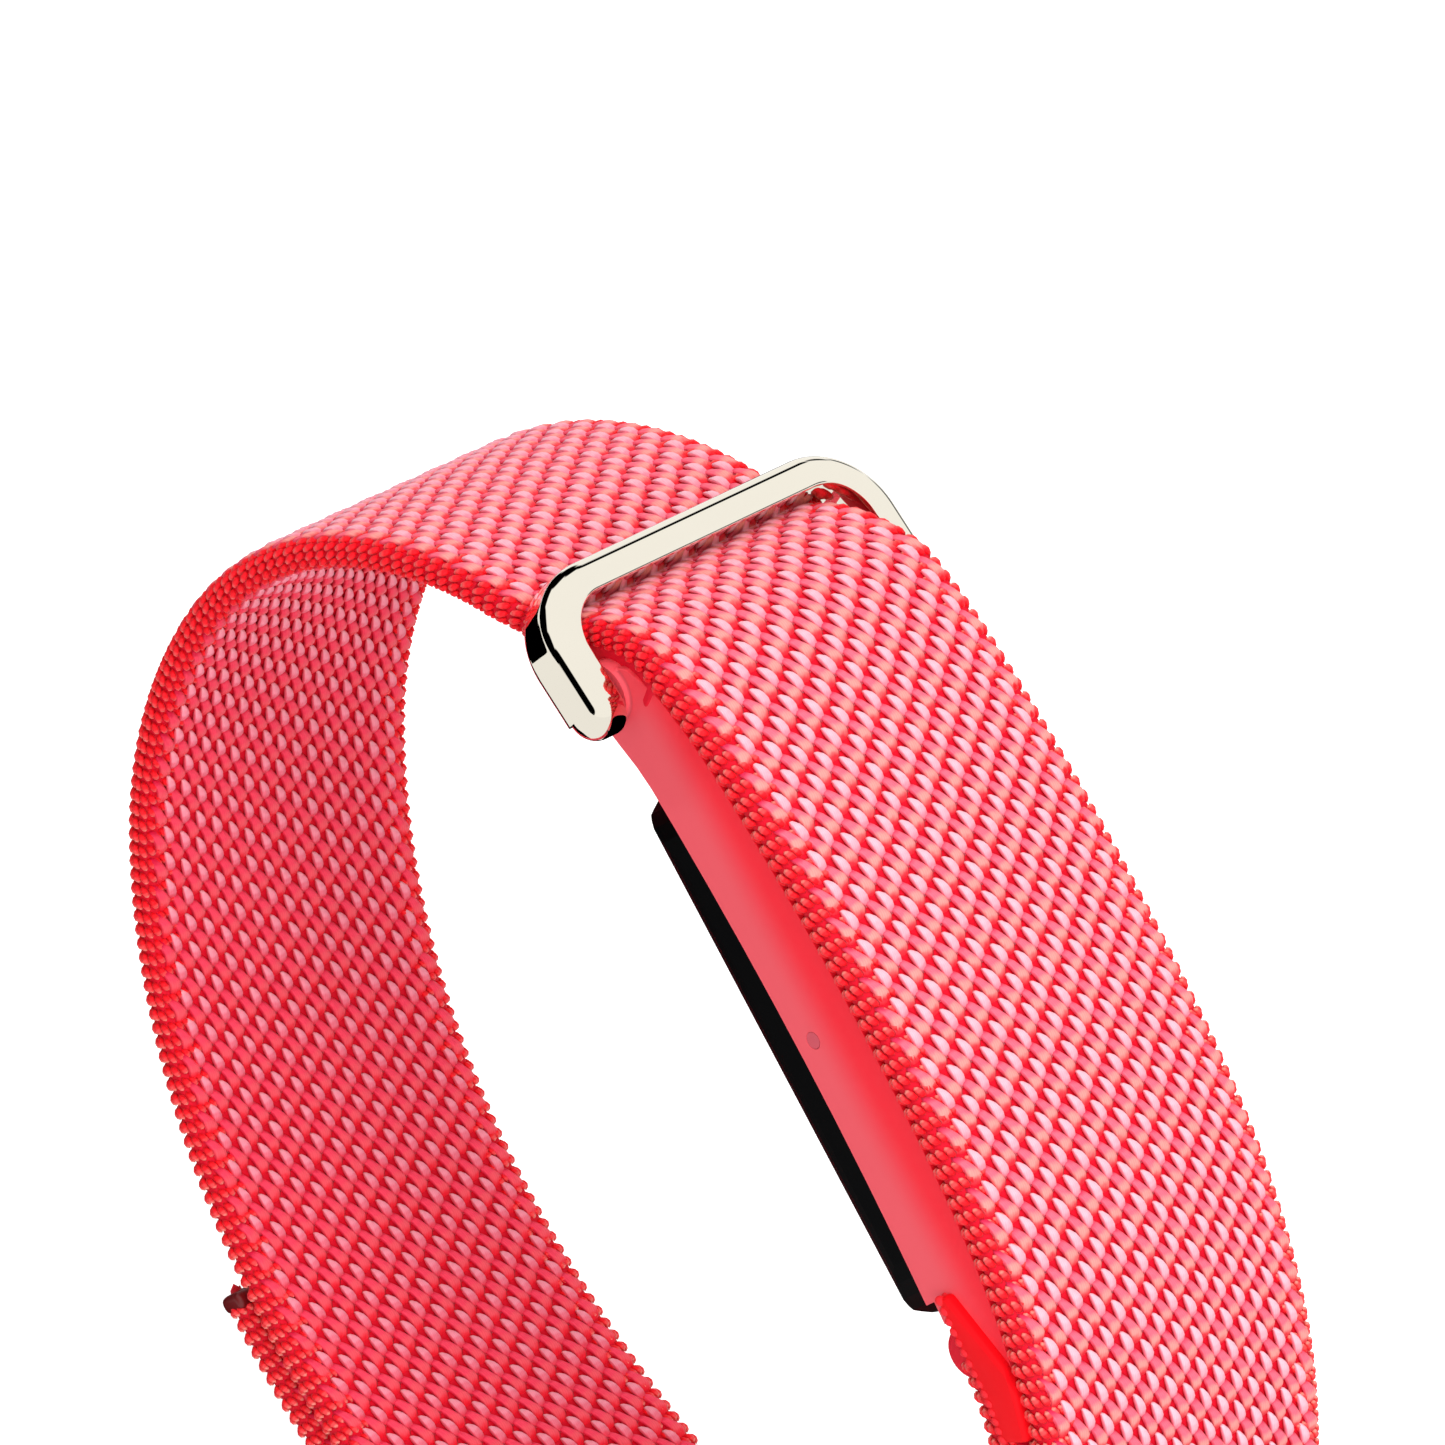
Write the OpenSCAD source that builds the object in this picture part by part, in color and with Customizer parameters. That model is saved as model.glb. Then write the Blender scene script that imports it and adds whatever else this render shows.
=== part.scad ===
// Screenless fitness tracker band: a woven strap that spirals once and a half round the
// wrist, a metal ring it is threaded through, a moulded cradle under the strap, and a
// sealed sensor pebble that pops out of the cradle towards the wrist.
// X runs along the band as worn, Y is the width of the strap, Z is up.
// The origin is the middle of the bounding box, on the surface that the band stands on.

/* [Strap] */
// Width of the woven strap
strap_w = 18; // [16:0.5:18]
// Thickness of the woven strap
strap_t = 1.5; // [1.3:0.1:1.5]
// Thickness of the hook tape under the free end
hook_t = 0.33; // [0.2:0.01:0.33]
// Width of the hook tape
hook_w = 14; // [10:0.5:15]

/* [Ring] */
// Outer width of the ring, across the strap
ring_w = 22.5; // [22.3:0.1:22.7]
// Length of the ring from its bar to the ends of its legs
ring_l = 7.85; // [7.7:0.05:8]
// Depth of the ring's section, along the way the strap passes through it
ring_d = 2.7; // [2.5:0.05:2.9]
// Thickness of the ring's metal
ring_t = 1.75; // [1.6:0.05:1.8]
// Outer radius of the ring's two corners
ring_r = 4; // [3:0.1:4.4]

/* [Cradle] */
// Width of the cradle
cradle_w = 17.6; // [17.3:0.1:17.8]
// Width of the hinge barrel between the ring's legs
barrel_w = 18.4; // [18:0.1:18.5]
// Radius of the hinge barrel
barrel_r = 1.5; // [1.3:0.05:1.6]
// Radius of the nose that the strap bends over
nose_r = 0.85; // [0.7:0.05:0.9]

/* [Pebble] */
// Length of the pebble
pebble_l = 27.5; // [25:0.5:27.5]
// Width of the pebble
pebble_w = 15.4; // [14.6:0.1:15.4]
// Height of the pebble
pebble_h = 6.45; // [6.3:0.05:6.5]
// Radius of the pebble's corners, seen from the wrist
pebble_r = 3.2; // [2.5:0.1:4]
// Radius of the pebble's lower edge
edge_r = 1.5; // [1:0.1:1.8]
// Wall of the pebble's shells
wall = 0.8; // [0.7:0.05:0.85]

/* [Hidden] */
$fn = 48;

// Where the wrist run and the over run meet, left of the ring: x, z and heading
meet = [-6.6, 61.85, 174.5];
// Lengths and turns of the wrist run: over the top, down the left, under and up to the cradle
wrist_turns = [
    [10, 26], [12, 35], [14, 33], [16, 25.5], [12, 19], [14, 16],
    [12, 31], [10, 0], [25, 90], [1.4, 0], [10, 17], [4.8, 20]
];
// The dip under the ring's bar, and the rise through the ring in a bend that starts over the barrel
ring_turns = [[4.08, -14.5], [0.71, 52.6], [2.38, -16.3], [3, -26]];
// The stretch that lies on the cradle
cradle_turns = [[3, -23.9], [4, -9.7], [10, -5], [10, -4.6], [5.66, -6.3]];
// Down the right and round the bottom, outside the wrist run
outer_turns = [[14, -25.1], [4, -5.7], [2.505, 0], [14.82, -45], [14.02, -45], [10, 0], [13.04, -31]];
// The free end, up the lower left
tail_turns = [[14.54, -16], [4, -6]];
// Length of the part of the last outer turn that the cradle's tongue reaches
tongue_turn = [5.2, -9.3];
// Clearance between the strap and what it lies on
skin_gap = 0.1;
// Gap between the strap and its free end, at the hinge line of the peel
peel_gap = 0.06;
// Points of the free end's run between which the hook tape lies
hook_from = 1;
hook_to = 5;

// Centre of the cradle's frame, its pitch, and the same for the ring
pod_at = [15.44, 50.3];
pod_pitch = 50;
ring_at = [0.8, 60.5];
ring_pitch = 43;
// Ring frame: outer face of the bar, front face and pin
bar_u = -4.65;
front_n = 1.9;
pin_un = [1.3, 0.33];
pin_r = 0.45;
// Radius of the ring's rounded front edge
front_r = 0.9;
// Radius of the ring's inner back edge, where the strap turns past it
back_r = 0.4;
// Clearance between the ring's inner corners and the strap
corner_gap = 0.12;

// Pebble frame, measured along and across the cradle
pebble_u = 2.55;
pebble_top = -1.75;
pebble_low = pebble_top - pebble_h;
split_n = -3.6;
roof = 0.6;
fit_gap = 0.15;
rim_n = -4.16;
rim_radius = 170;
floor_n = pebble_low + 0.9;

// Fixed end: the strap's eye round its bar
eye_r = 1.3;
end_bar_r = 0.5;
end_bar_w = 15;
lug_w = 4.4;
lug_r = 1.2;

// Sensor stack and board levels, from the wrist side up
window_r = 4.2;
flex_n = -6.25;
board_n = -5.7;
board_t = 0.6;
board_top = board_n + board_t;
battery_n = -4.3;
battery_size = [17, 11.4, 1.75];
motor_u = 12.0;
motor_r = 3.0;
motor_n = -4.25;
motor_h = 1.85;
status_un = [2.3, -2.94];

// Wrist side fittings of the pebble: places along it, and across it on either side of the middle
contact_u = 11.6;
contact_y = 2.6;
contact_r = 1.1;
magnet_y = 5.2;
pad_u = -6.6;
pad_r = 1.5;
// Posts that carry the board
post_u = [-8.4, 8.2];
post_y = 5;
// Chips on the board: place along and across, then size
processor = [[-1.5, 1.6], [4.6, 4.6, 0.7]];
memory = [[-2.2, -3.6], [3.2, 2.2, 0.5]];
motion = [[2.6, -3.4], [2.5, 3, 0.7]];
radio = [[-6.6, 0.4], [3, 3, 0.4]];
shield = [[-6.6, 0.4], [4.6, 5.2, 0.72]];
shield_wall = 0.2;
shield_roof = 0.12;
connector = [[6.4, 4.2], [2.6, 1.6, 0.45]];
lead_w = 1.4;

// One arc or straight of a run, from p = [x, z, heading]
function step(p, size, turn) =
    turn == 0
    ? [p[0] + size*cos(p[2]), p[1] + size*sin(p[2]), p[2]]
    : let (r = size/turn*180/PI)
      [p[0] + r*(sin(p[2] + turn) - sin(p[2])), p[1] - r*(cos(p[2] + turn) - cos(p[2])), p[2] + turn];

// All the points of a run, about one for every 5 degrees or 3 mm
function run(p, turns, i = 0) =
    i == len(turns)
    ? [p]
    : let (size = turns[i][0], turn = turns[i][1], n = ceil(max(abs(turn)/5, size/3)))
      concat(
          [for (k = [0:n - 1]) step(p, size*k/n, turn*k/n)],
          run(step(p, size, turn), turns, i + 1)
      );

// Points of a run moved sideways, to the left of its heading
function beside(points, d) = [for (p = points) [p[0] - d*sin(p[2]), p[1] + d*cos(p[2])]];
function reverse(points) = [for (k = [len(points) - 1:-1:0]) points[k]];
function last(points) = points[len(points) - 1];

// Outline of a strip whose faces lie a and b to the left of its run
function strip(points, a, b) = concat(beside(points, a), reverse(beside(points, b)));

// A point of the cradle's frame in the side view
function pod(u, n) = [
    pod_at[0] + u*cos(pod_pitch) + n*sin(pod_pitch),
    pod_at[1] - u*sin(pod_pitch) + n*cos(pod_pitch)
];

// Outline of a rounded rectangle
function rounded(l, w, r, n = 6) = [
    for (q = [0:3], k = [0:n])
        let (a = 90*q + 90*k/n, sx = (q == 0 || q == 3) ? 1 : -1, sy = q < 2 ? 1 : -1)
        [sx*(l/2 - r) + r*cos(a), sy*(w/2 - r) + r*sin(a)]
];

wrist_run = run(meet, wrist_turns);
over_start = [meet[0], meet[1], meet[2] - 180];
over_run = run(over_start, concat(ring_turns, cradle_turns, outer_turns));
// The free end starts past a small gap, so that it can peel
tail_run = run(step(last(over_run), peel_gap, 0), tail_turns);
nose_end = last(run(over_start, ring_turns));
cradle_run = run(nose_end, concat(cradle_turns, [tongue_turn]));
nose_at = beside([nose_end], -strap_t/2 - skin_gap - nose_r)[0];
end_bar_at = [last(wrist_run)[0], last(wrist_run)[1]];

// Extrudes a side view outline across the band
module across(w) { rotate([90, 0, 0]) linear_extrude(height = w, center = true) children(); }
// Places what is drawn in the cradle's frame or the ring's frame
module in_pod() { translate([pod_at[0], 0, pod_at[1]]) rotate([0, pod_pitch, 0]) children(); }
module in_ring() { translate([ring_at[0], 0, ring_at[1]]) rotate([0, ring_pitch, 0]) children(); }
// A round bar across the band, centred on a point of the side view
module cross_bar(at, r, w) { translate([at[0], 0, at[1]]) rotate([90, 0, 0]) cylinder(r = r, h = w, center = true); }
// A box given by its centre along and across, its lower face and its size
module chip(u, y, low, size) { translate([u - size[0]/2, y - size[1]/2, low]) cube(size); }

// ---- strap ----

module woven_strap() color("#f2475c") difference() {
    union() {
        across(strap_w) polygon(concat(
            beside(reverse(wrist_run), -strap_t/2),
            beside(over_run, strap_t/2),
            reverse(beside(over_run, -strap_t/2)),
            beside(wrist_run, strap_t/2)
        ));
        cross_bar(end_bar_at, eye_r, strap_w);
    }
    cross_bar(end_bar_at, end_bar_r + 0.03, strap_w + 1);
    translate([end_bar_at[0], 0, end_bar_at[1]]) rotate([0, pod_pitch, 0])
        translate([-eye_r - 1, -lug_w/2 - 0.3, -eye_r - 1])
            cube([2*eye_r + 1.2, lug_w + 0.6, 2*(eye_r + 1)]);
    for (side = [0, 1]) mirror([0, side, 0]) ring_corner_room();
}

// Where the ring's round inner corner draws the strap's edge in
module ring_corner_room() {
    inner_r = ring_r - ring_t;
    in_ring() translate([bar_u + ring_r, ring_w/2 - ring_r, front_n - ring_d - corner_gap]) difference() {
        translate([-inner_r - corner_gap, 0, 0]) cube([inner_r + corner_gap, inner_r + 1, ring_d + 2*corner_gap]);
        translate([0, 0, -1]) cylinder(r = inner_r - corner_gap, h = ring_d + 3);
    }
}

module strap_end_bar() color("#b9bcc0") cross_bar(end_bar_at, end_bar_r, end_bar_w);

module strap_tail() color("#f2475c")
    across(strap_w) polygon(strip(tail_run, strap_t/2, -strap_t/2));

module hook_tape() color("#c22a3d")
    across(hook_w) polygon(strip(
        [for (k = [hook_from:hook_to]) tail_run[k]], -strap_t/2, -strap_t/2 - hook_t
    ));

module tail_stitches() color("#ff8f9a")
    for (s = [3.4, 13.6], y = [-6.4:1.6:6.4])
        let (p = step(tail_run[0], s, s*tail_turns[0][1]/tail_turns[0][0]))
        translate([p[0] - (strap_t/2 + 0.08)*sin(p[2]), y, p[1] + (strap_t/2 + 0.08)*cos(p[2])])
            rotate([90, 0, 0]) cylinder(r = 0.16, h = 1.1, center = true, $fn = 16);

module strap_tip() color("#8c1f22") {
    n = len(tail_run) - 1;
    tip_run = concat([tail_run[n - 1], tail_run[n]], [step(tail_run[n], 0.4, 0)]);
    difference() {
        across(strap_w + 0.5) polygon(strip(tip_run, strap_t/2 + 0.22, -strap_t/2 - 0.22));
        across(strap_w) polygon(strip(tail_run, strap_t/2, -strap_t/2));
    }
}

// ---- ring and its spring bar ----

// Section of the ring: front at the top, outer face towards -X, with its front edge rounded off
module ring_section() intersection() {
    union() {
        square([ring_t, ring_d - front_r]);
        translate([front_r, 0]) square([ring_t - front_r, ring_d]);
        translate([front_r, ring_d - front_r]) circle(r = front_r);
    }
    union() {
        square([ring_t - back_r, ring_d]);
        translate([0, back_r]) square([ring_t, ring_d - back_r]);
        translate([ring_t - back_r, back_r]) circle(r = back_r);
    }
}

module ring_leg() {
    leg_l = ring_l - ring_r;
    end_r = ring_d/2;
    intersection() {
        translate([ring_r, -ring_w/2, 0]) rotate([90, 0, 90]) linear_extrude(height = leg_l) ring_section();
        union() {
            translate([ring_r - 1, -ring_w/2 - 1, 0]) cube([leg_l + 1 - end_r, ring_t + 2, ring_d]);
            translate([ring_l - end_r, -ring_w/2 + ring_t/2, end_r]) rotate([90, 0, 0])
                cylinder(r = end_r, h = ring_t + 2, center = true);
        }
    }
}

module ring_corner() {
    translate([ring_r, -ring_w/2 + ring_r, 0]) rotate([0, 0, 180])
        rotate_extrude(angle = 90) translate([ring_r, 0]) mirror([1, 0]) ring_section();
}

module ring() color("#efe6d2") difference() {
    in_ring() translate([bar_u, 0, front_n - ring_d]) {
        translate([0, -ring_w/2 + ring_r, 0]) rotate([90, 0, 180])
            mirror([1, 0, 0]) linear_extrude(height = ring_w - 2*ring_r) ring_section();
        for (side = [0, 1]) mirror([0, side, 0]) { ring_corner(); ring_leg(); }
    }
    in_ring() translate([pin_un[0], 0, pin_un[1]]) rotate([90, 0, 0])
        cylinder(r = pin_r + 0.05, h = ring_w - 0.7, center = true);
}

module ring_bar_tube() color("#b9bcc0") in_ring() translate([pin_un[0], 0, pin_un[1]]) rotate([90, 0, 0])
    difference() {
        cylinder(r = 0.8, h = 17, center = true);
        cylinder(r = pin_r + 0.05, h = 18, center = true);
    }

module ring_bar_tip(side) in_ring() translate([pin_un[0], side*(ring_w/2 - 0.45), pin_un[1]])
    rotate([side*90, 0, 0]) cylinder(r = pin_r, h = 4.2);

module ring_bar_tip_near() color("#a4a8ad") ring_bar_tip(-1);
module ring_bar_tip_far() color("#a4a8ad") ring_bar_tip(1);

module ring_bar_spring() color("#8d9196") in_ring() translate([pin_un[0], 0, pin_un[1]])
    for (k = [-6:6]) translate([0, k*0.8, 0]) rotate([90, 0, 0])
        rotate_extrude($fn = 24) translate([0.3, 0]) circle(r = 0.1, $fn = 16);

// ---- cradle ----

// Lower edge of the cradle's side, a shallow arc, from the flare by the ring to the tongue
function rim(u) = rim_n - (u - 2.5)*(u - 2.5)/(2*rim_radius);

module cradle_side() polygon(concat(
    beside(cradle_run, -strap_t/2 - skin_gap),
    [pod(18.6, -2.15), pod(16.6, -2.25), pod(16.45, rim(16.45))],
    [for (u = [15:-3:-9]) pod(u, rim(u))],
    [pod(-11.2, -4.72), pod(-12.4, -4.92), pod(-13.6, -5.25), pod(-14.8, -5.55)],
    [pod(-15.97, -4.17), nose_at]
));

module cradle_pocket() translate([pebble_u, 0, -12]) linear_extrude(height = 12 + pebble_top + fit_gap)
    polygon(rounded(pebble_l + 2*fit_gap, pebble_w + 2*fit_gap, pebble_r + fit_gap));

// Scoop in the side that the strap's edge shows through
module cradle_scoop() translate([0, cradle_w/2, 0]) across(1.0) polygon(concat(
    [[21, -5.5], [15.3, -5.5]],
    [for (a = [180:-15:105]) [16.3 + cos(a), -4.1 + 0.9*sin(a)]],
    [[19.9, -1.75], [21, -1.75]]
));

module cradle() color("#f6404f") difference() {
    union() {
        across(cradle_w) cradle_side();
        cross_bar(nose_at, nose_r, cradle_w);
        in_ring() translate([pin_un[0], 0, pin_un[1]]) rotate([90, 0, 0])
            cylinder(r = barrel_r, h = barrel_w, center = true);
        cross_bar(end_bar_at, lug_r, lug_w);
        translate([end_bar_at[0], 0, end_bar_at[1]]) rotate([0, pod_pitch, 0])
            translate([-lug_r, -lug_w/2, 0]) cube([2*lug_r, lug_w, 1.7]);
    }
    in_pod() cradle_pocket();
    in_pod() for (side = [0, 1]) mirror([0, side, 0]) cradle_scoop();
    in_ring() translate([pin_un[0], 0, pin_un[1]]) rotate([90, 0, 0])
        cylinder(r = 0.82, h = barrel_w + 1, center = true);
    cross_bar(end_bar_at, end_bar_r + 0.02, lug_w + 1);
    in_pod() translate([status_un[0], -cradle_w/2, status_un[1]]) rotate([90, 0, 0])
        cylinder(r = 0.42, h = 3, center = true, $fn = 24);
}

module status_window() color("#7d3038") in_pod()
    translate([status_un[0], -cradle_w/2 + 0.02, status_un[1]]) rotate([-90, 0, 0])
        cylinder(r = 0.4, h = 0.85, $fn = 24);

// ---- pebble: the sealed sensor module ----

// The pebble's outer form, inset by d all round
module pebble_form(d) intersection() {
    translate([pebble_u, 0, pebble_low + d]) linear_extrude(height = pebble_h - 2*d)
        polygon(rounded(pebble_l - 2*d, pebble_w - 2*d, pebble_r - d));
    translate([pebble_u, 0, pebble_top + 3]) across(pebble_w + 1) edge_profile(pebble_l, d);
    translate([pebble_u, 0, pebble_top + 3]) rotate([0, 0, 90]) across(pebble_l + 1) edge_profile(pebble_w, d);
}

// Lower edge rounded, top left square
module edge_profile(l, d) translate([0, (d - pebble_h - 3)/2])
    polygon(rounded(l - 2*d, pebble_h + 3 - d, edge_r - d/2));

module above(n) intersection() { children(); translate([-30, -20, n]) cube([70, 40, 30]); }
module below(n) intersection() { children(); translate([-30, -20, n - 30]) cube([70, 40, 30]); }

module pebble_base() color("#0b0b0d") in_pod() {
    difference() {
        below(split_n) pebble_form(0);
        translate([pebble_u, 0, floor_n]) linear_extrude(height = 10)
            polygon(rounded(pebble_l - 2*wall, pebble_w - 2*wall, pebble_r - wall));
        translate([pebble_u, 0, pebble_low - 1]) cylinder(r = window_r + 0.02, h = 3);
        for (y = [-contact_y, contact_y]) translate([contact_u, y, pebble_low - 1])
            cylinder(r = contact_r + 0.02, h = 3, $fn = 32);
        translate([pad_u, 0, pebble_low - 1]) cylinder(r = pad_r + 0.02, h = 3, $fn = 32);
    }
    for (u = post_u, y = [-post_y, post_y]) translate([u, y, floor_n - 0.2])
        cylinder(r = 0.6, h = board_n - floor_n + 0.2, $fn = 24);
}

module pebble_lid() color("#151517") in_pod() difference() {
    above(split_n) pebble_form(0);
    translate([pebble_u, 0, split_n - 10]) linear_extrude(height = 10 + pebble_top - roof - split_n)
        polygon(rounded(pebble_l - 2*wall, pebble_w - 2*wall, pebble_r - wall));
    translate([status_un[0], -pebble_w/2, status_un[1]]) rotate([90, 0, 0])
        cylinder(r = 0.37, h = 3, center = true, $fn = 24);
}

module shell_seal() color("#2b2b2e") in_pod() translate([pebble_u, 0, split_n - 0.3]) linear_extrude(height = 0.6)
    difference() {
        polygon(rounded(pebble_l - 2*wall - 0.04, pebble_w - 2*wall - 0.04, pebble_r - wall));
        polygon(rounded(pebble_l - 2*wall - 0.8, pebble_w - 2*wall - 0.8, pebble_r - wall - 0.3));
    }

module sensor_window() color("#16181c") in_pod() translate([pebble_u, 0, pebble_low])
    cylinder(r = window_r, h = 0.85);

module charge_contacts() color("#d9b45a") in_pod() for (y = [-contact_y, contact_y]) {
    translate([contact_u, y, pebble_low + 0.05]) cylinder(r = contact_r, h = 0.95, $fn = 32);
    translate([contact_u, y, pebble_low + 0.5]) cylinder(r = 0.35, h = board_n - pebble_low - 0.5, $fn = 24);
}

module skin_temperature_pad() color("#c9ccd0") in_pod() translate([pad_u, 0, pebble_low + 0.02]) {
    cylinder(r = pad_r, h = 0.9, $fn = 32);
    translate([-0.6, -0.6, 0.9]) cube([1.2, 1.2, 0.5]);
}

module charger_magnets() color("#aeb1b5") in_pod()
    for (y = [-magnet_y, magnet_y]) translate([contact_u, y, floor_n]) cylinder(r = 1.3, h = 1.0, $fn = 32);

module optical_barrier() color("#101012") in_pod() translate([pebble_u, 0, 0]) difference() {
    translate([0, 0, floor_n + 0.02]) cylinder(r = 3.9, h = flex_n - floor_n - 0.04);
    for (x = [-2.25, 2.25]) chip(x, 0, -8, [1.9, 2.4, 3]);
    for (y = [-2.5, 2.5]) chip(0, y, -8, [2.2, 1.5, 3]);
    chip(0, 0, -8, [1.7, 1.7, 3]);
}

module photodiodes() color("#3a3f52") in_pod()
    for (x = [-2.25, 2.25]) chip(pebble_u + x, 0, flex_n - 0.55, [1.6, 2.1, 0.55]);

module green_leds() color("#d8f5c8") in_pod()
    for (y = [-2.5, 2.5], x = [-0.5, 0.5]) chip(pebble_u + x, y, flex_n - 0.5, [0.7, 1.0, 0.5]);

module red_infrared_led() color("#f5d0c8") in_pod() chip(pebble_u, 0, flex_n - 0.5, [1.2, 1.2, 0.5]);

module sensor_flex() color("#c97b2c") in_pod() {
    translate([pebble_u, 0, flex_n]) cylinder(r = 4.6, h = 0.2);
    chip(pebble_u - 4.9, 0, flex_n, [2.6, 3, 0.2]);
    chip(pebble_u - 6.1, 0, flex_n, [0.2, 3, board_n - flex_n]);
}

module main_board() color("#1f6b3c") in_pod()
    translate([pebble_u - 0.2, 0, board_n]) linear_extrude(height = board_t) polygon(rounded(24.6, 12.8, 2));

module on_board(part) in_pod() chip(part[0][0], part[0][1], board_top, part[1]);
module processor_chip() color("#26282c") on_board(processor);
module memory_chip() color("#2d3036") on_board(memory);
module motion_sensor() color("#33373d") on_board(motion);
module radio_chip() color("#2a2c31") on_board(radio);
module battery_connector() color("#e8e3d6") on_board(connector);

module radio_shield() color("#c4c7cb") difference() {
    on_board(shield);
    in_pod() chip(shield[0][0], shield[0][1], board_top - 1, [
        shield[1][0] - 2*shield_wall, shield[1][1] - 2*shield_wall, shield[1][2] + 1 - shield_roof
    ]);
}

module battery_cell() color("#9aa0a8") in_pod()
    translate([-0.4, 0, battery_n]) linear_extrude(height = battery_size[2])
        polygon(rounded(battery_size[0], battery_size[1], 0.8));

module battery_lead() color("#b5702a") in_pod() {
    chip(8.35, connector[0][1], battery_n - 0.3, [0.3, lead_w, 1.4]);
    chip(7.2, connector[0][1], battery_n - 0.34, [2.6, lead_w, 0.2]);
}

module battery_foam() color("#55585e") in_pod() chip(-0.4, 0, battery_n + battery_size[2], [14, 9, 0.2]);

module antenna_strip() color("#c98a3a") in_pod() {
    roof_n = pebble_top - roof;
    chip(-9.75, 0, roof_n - 0.15, [0.9, 10, 0.15]);
    chip(-9.75, -4.6, roof_n - 0.75, [0.15, 0.8, 0.6]);
}

module status_led() color("#fff1b8") in_pod() {
    chip(status_un[0], -6.15, status_un[1] - 0.3, [0.8, 0.5, 0.6]);
    chip(status_un[0], -6.3, board_top, [0.8, 0.15, status_un[1] - 0.3 - board_top]);
}

module light_pipe() color("#cfd6dc") in_pod() translate([status_un[0], -pebble_w/2 + 0.02, status_un[1]])
    rotate([-90, 0, 0]) cylinder(r = 0.35, h = 1.1, $fn = 24);

// ---- vibration motor ----

module motor_case() color("#b4b8bd") in_pod() translate([motor_u, 0, motor_n]) difference() {
    cylinder(r = motor_r, h = motor_h);
    translate([0, 0, 0.15]) cylinder(r = motor_r - 0.2, h = motor_h - 0.3);
}

module motor_coil() color("#b87333") in_pod() translate([motor_u, 0, motor_n + 0.16]) difference() {
    cylinder(r = 1.2, h = 0.42);
    translate([0, 0, -1]) cylinder(r = 0.6, h = 3);
}

module motor_spring() color("#8d9196") in_pod() translate([motor_u, 0, motor_n + motor_h - 0.26]) difference() {
    cylinder(r = 2.7, h = 0.1);
    translate([0, 0, -1]) cylinder(r = 2.2, h = 3);
}

module motor_mass() color("#6d7076") in_pod() translate([motor_u, 0, motor_n + 0.45]) difference() {
    cylinder(r = 2.5, h = 0.85);
    translate([0, 0, -0.5]) cylinder(r = 1.5, h = 0.95);
}

woven_strap();
strap_end_bar();
cradle();
status_window();
ring();
ring_bar_tube();
ring_bar_spring();
ring_bar_tip_near();
ring_bar_tip_far();
strap_tail();
hook_tape();
tail_stitches();
strap_tip();
pebble_base();
pebble_lid();
shell_seal();
sensor_window();
charge_contacts();
skin_temperature_pad();
charger_magnets();
optical_barrier();
green_leds();
red_infrared_led();
photodiodes();
sensor_flex();
main_board();
processor_chip();
memory_chip();
motion_sensor();
radio_chip();
radio_shield();
battery_connector();
battery_cell();
battery_lead();
battery_foam();
antenna_strip();
status_led();
light_pipe();
motor_case();
motor_coil();
motor_spring();
motor_mass();
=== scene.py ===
import bpy, bmesh, math
import numpy as np
from mathutils import Matrix, Vector
from mathutils.bvhtree import BVHTree


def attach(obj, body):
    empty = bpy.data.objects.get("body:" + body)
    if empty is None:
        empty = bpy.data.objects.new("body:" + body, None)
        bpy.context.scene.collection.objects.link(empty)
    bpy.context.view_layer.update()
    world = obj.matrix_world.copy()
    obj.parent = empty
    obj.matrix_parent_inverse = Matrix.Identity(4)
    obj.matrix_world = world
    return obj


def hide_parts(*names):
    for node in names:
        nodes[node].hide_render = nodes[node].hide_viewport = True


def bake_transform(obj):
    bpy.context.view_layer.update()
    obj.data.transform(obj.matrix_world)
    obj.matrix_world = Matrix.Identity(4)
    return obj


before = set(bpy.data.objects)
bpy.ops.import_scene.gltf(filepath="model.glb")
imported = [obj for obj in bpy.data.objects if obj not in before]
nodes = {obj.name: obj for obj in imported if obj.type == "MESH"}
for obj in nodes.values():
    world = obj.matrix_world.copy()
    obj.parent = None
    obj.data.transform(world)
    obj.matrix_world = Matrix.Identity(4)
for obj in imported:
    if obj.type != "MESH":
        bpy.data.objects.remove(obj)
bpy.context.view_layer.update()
mm = 0.001
joinWithin = 1e-4                                        # in mm, for points that are one
print("stage: frame loaded,", len(nodes), "CAD nodes")

# pixels of the photograph, x to the right and y down
imagePoints = {
    "objectLeft": 126, "objectRight": 1318, "objectTop": 420,
    "ringLeft": (524, 632), "ringLegEnd": (596, 741), "ringFarTop": (817, 456),
    "outerFloat": (975, 870), "innerFloat": (384, 1206),
    "statusDot": (820, 1037), "pebbleNearEnd": (651, 815), "pebbleFarEnd": (932, 1312),
    "tailTip": (224, 1303), "hemTop": (946, 1292),
}
cameraSet = {
    "target": (0.8, 0, 54.5), "azimuth": 43.218, "elevation": 27.807, "distance": 379.419,
    "lens": 203.68, "sensor": 36, "frame": (1445, 1445),
}


def makeCamera():
    turn, lift = math.radians(cameraSet["azimuth"]), math.radians(cameraSet["elevation"])
    away = Vector((math.sin(turn)*math.cos(lift), -math.cos(turn)*math.cos(lift), math.sin(lift)))
    data = bpy.data.cameras.new("camera")
    data.lens, data.sensor_width, data.sensor_fit = cameraSet["lens"], cameraSet["sensor"], "AUTO"
    data.clip_start, data.clip_end = 0.01, 20
    camera = bpy.data.objects.new("camera", data)
    bpy.context.scene.collection.objects.link(camera)
    place = Matrix.Translation((Vector(cameraSet["target"]) + away*cameraSet["distance"])*mm)
    camera.matrix_world = place @ away.to_track_quat("Z", "Y").to_matrix().to_4x4()
    bpy.context.scene.camera = camera
    bpy.context.view_layer.update()
    return camera


camera = makeCamera()
print("stage: camera set")


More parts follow.
